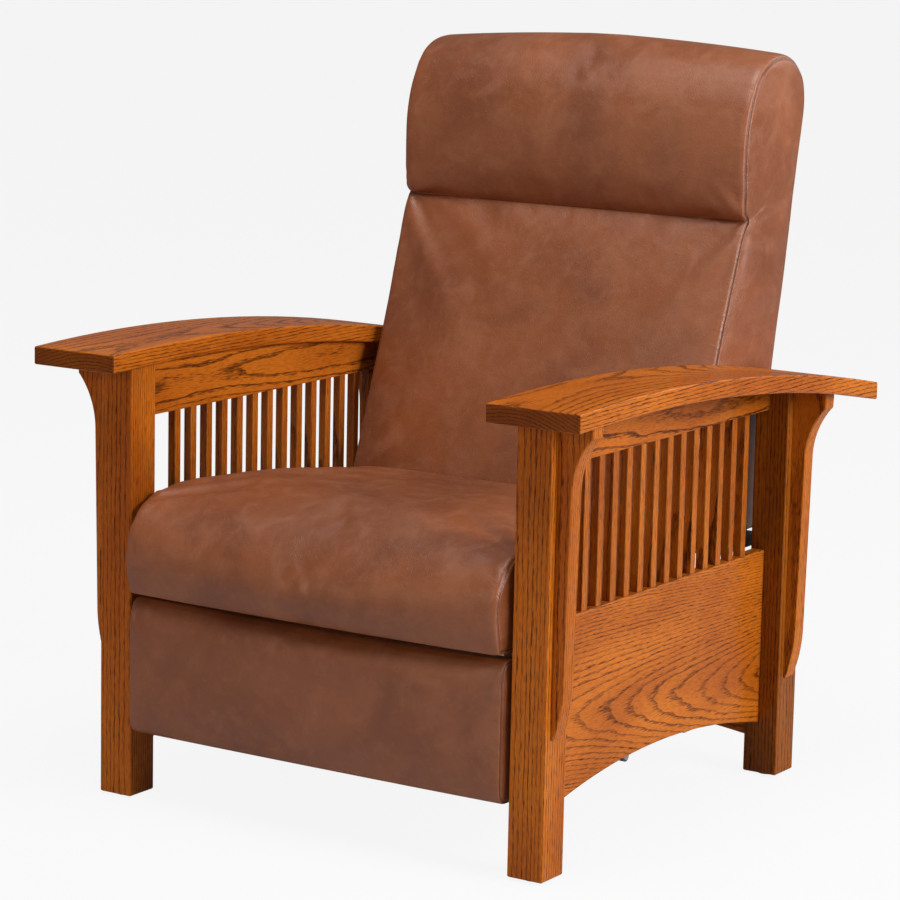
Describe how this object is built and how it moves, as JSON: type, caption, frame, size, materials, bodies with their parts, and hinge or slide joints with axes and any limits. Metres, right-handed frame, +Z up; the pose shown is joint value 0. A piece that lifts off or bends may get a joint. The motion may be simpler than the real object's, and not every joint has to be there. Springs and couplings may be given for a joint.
{
  "type": "reclining armchair",
  "caption": "Mission style reclining armchair with bowed wooden arms, slatted sides, leather seat and back, and a folding footrest.",
  "frame": {"origin": "on the floor, under the middle of the whole chair's box", "axes": "+Z up, -Y the way the sitter faces, +X to the sitter's left"},
  "size_m": [0.864, 0.8572, 1.0353],
  "materials": {
    "oak": "satin lacquer over an orange-brown stain",
    "leather": "soft sheen, mottled brown",
    "frame_wood": "bare sawn wood",
    "black_steel": "black powder coat",
    "zinc_steel": "zinc plate",
    "spring_steel": "oiled wire",
    "glide_plastic": "matt"
  },
  "bodies": {
    "frame": {"left_side_panel": "oak", "left_upper_rail": "oak", "left_spindles": "oak", "left_front_post": "oak", "left_front_corbel": "oak", "left_rear_post": "oak", "left_rear_corbel": "oak", "left_arm": "oak", "left_base_plate": "black_steel", "right_side_panel": "oak", "right_upper_rail": "oak", "right_spindles": "oak", "right_front_post": "oak", "right_front_corbel": "oak", "right_rear_post": "oak", "right_rear_corbel": "oak", "right_arm": "oak", "right_base_plate": "black_steel", "arm_dowels": "oak", "post_glides": "glide_plastic", "rear_stretcher": "oak", "cross_rail": "frame_wood", "base_screws": "zinc_steel", "base_rivets": "zinc_steel"},
    "front_carrier": {"front_carrier_links": "black_steel"},
    "rear_carrier": {"rear_carrier_links": "black_steel"},
    "seat": {"seat_cushion": "leather", "seat_side_boards": "frame_wood", "seat_front_board": "frame_wood", "seat_rear_board": "frame_wood", "seat_springs": "spring_steel", "seat_plates": "black_steel", "seat_screws": "zinc_steel", "seat_rivets": "zinc_steel"},
    "back": {"lower_back_cushion": "leather", "head_cushion": "leather", "outside_back": "leather", "back_stiles": "frame_wood", "back_bottom_rail": "frame_wood", "back_top_rail": "frame_wood", "back_springs": "spring_steel", "back_brackets": "black_steel", "back_screws": "zinc_steel"},
    "lift": {"lift_links": "black_steel", "lift_rivets": "zinc_steel", "torque_tube": "black_steel"},
    "guide": {"guide_links": "black_steel", "guide_rivets": "zinc_steel"},
    "reach": {"reach_links": "black_steel"},
    "control": {"control_links": "black_steel"},
    "footrest": {"footrest_pad": "leather", "footrest_board": "frame_wood", "footrest_brackets": "black_steel", "footrest_screws": "zinc_steel", "footrest_rivets": "zinc_steel"}
  },
  "joints": [
    {"name": "recline", "type": "hinge", "parent": "frame", "child": "front_carrier", "pos_m": [0, -0.22309, 0.165], "axis": [1, 0, 0], "range_deg": [0, 40]},
    {"name": "seat_glide", "type": "hinge", "parent": "front_carrier", "child": "seat", "pos_m": [0, -0.19915, 0.23078], "axis": [1, 0, 0], "range_deg": [-40, 0]},
    {"name": "rear_carrier_swing", "type": "hinge", "parent": "frame", "child": "rear_carrier", "pos_m": [0, 0.02691, 0.165], "axis": [1, 0, 0], "range_deg": [0, 40]},
    {"name": "back_tilt", "type": "hinge", "parent": "seat", "child": "back", "pos_m": [0, 0.14691, 0.32], "axis": [-1, 0, 0], "range_deg": [0, 28]},
    {"name": "footrest_lift", "type": "hinge", "parent": "seat", "child": "lift", "pos_m": [0, -0.17309, 0.235], "axis": [-1, 0, 0], "range_deg": [0, 115]},
    {"name": "guide_swing", "type": "hinge", "parent": "seat", "child": "guide", "pos_m": [0, -0.23991, 0.26905], "axis": [-1, 0, 0], "range_deg": [0, 115]},
    {"name": "reach_level", "type": "hinge", "parent": "lift", "child": "reach", "pos_m": [0, -0.05417, 0.09328], "axis": [-1, 0, 0], "range_deg": [-115, 0]},
    {"name": "footrest_turn", "type": "hinge", "parent": "reach", "child": "footrest", "pos_m": [0, -0.30811, 0.22267], "axis": [-1, 0, 0], "range_deg": [0, 95]},
    {"name": "control_swing", "type": "hinge", "parent": "guide", "child": "control", "pos_m": [0, -0.10107, 0.10358], "axis": [-1, 0, 0], "range_deg": [-112.87, 0]}
  ],
  "couplings": [
    {"joint": "seat_glide", "follows": "recline", "ratio": -1},
    {"joint": "rear_carrier_swing", "follows": "recline", "ratio": 1},
    {"joint": "back_tilt", "follows": "recline", "ratio": 0.7},
    {"joint": "guide_swing", "follows": "footrest_lift", "ratio": 1},
    {"joint": "reach_level", "follows": "footrest_lift", "ratio": -1},
    {"joint": "footrest_turn", "follows": "footrest_lift", "ratio": 0.82609},
    {"joint": "control_swing", "follows": "footrest_lift", "ratio": -0.98145}
  ]
}
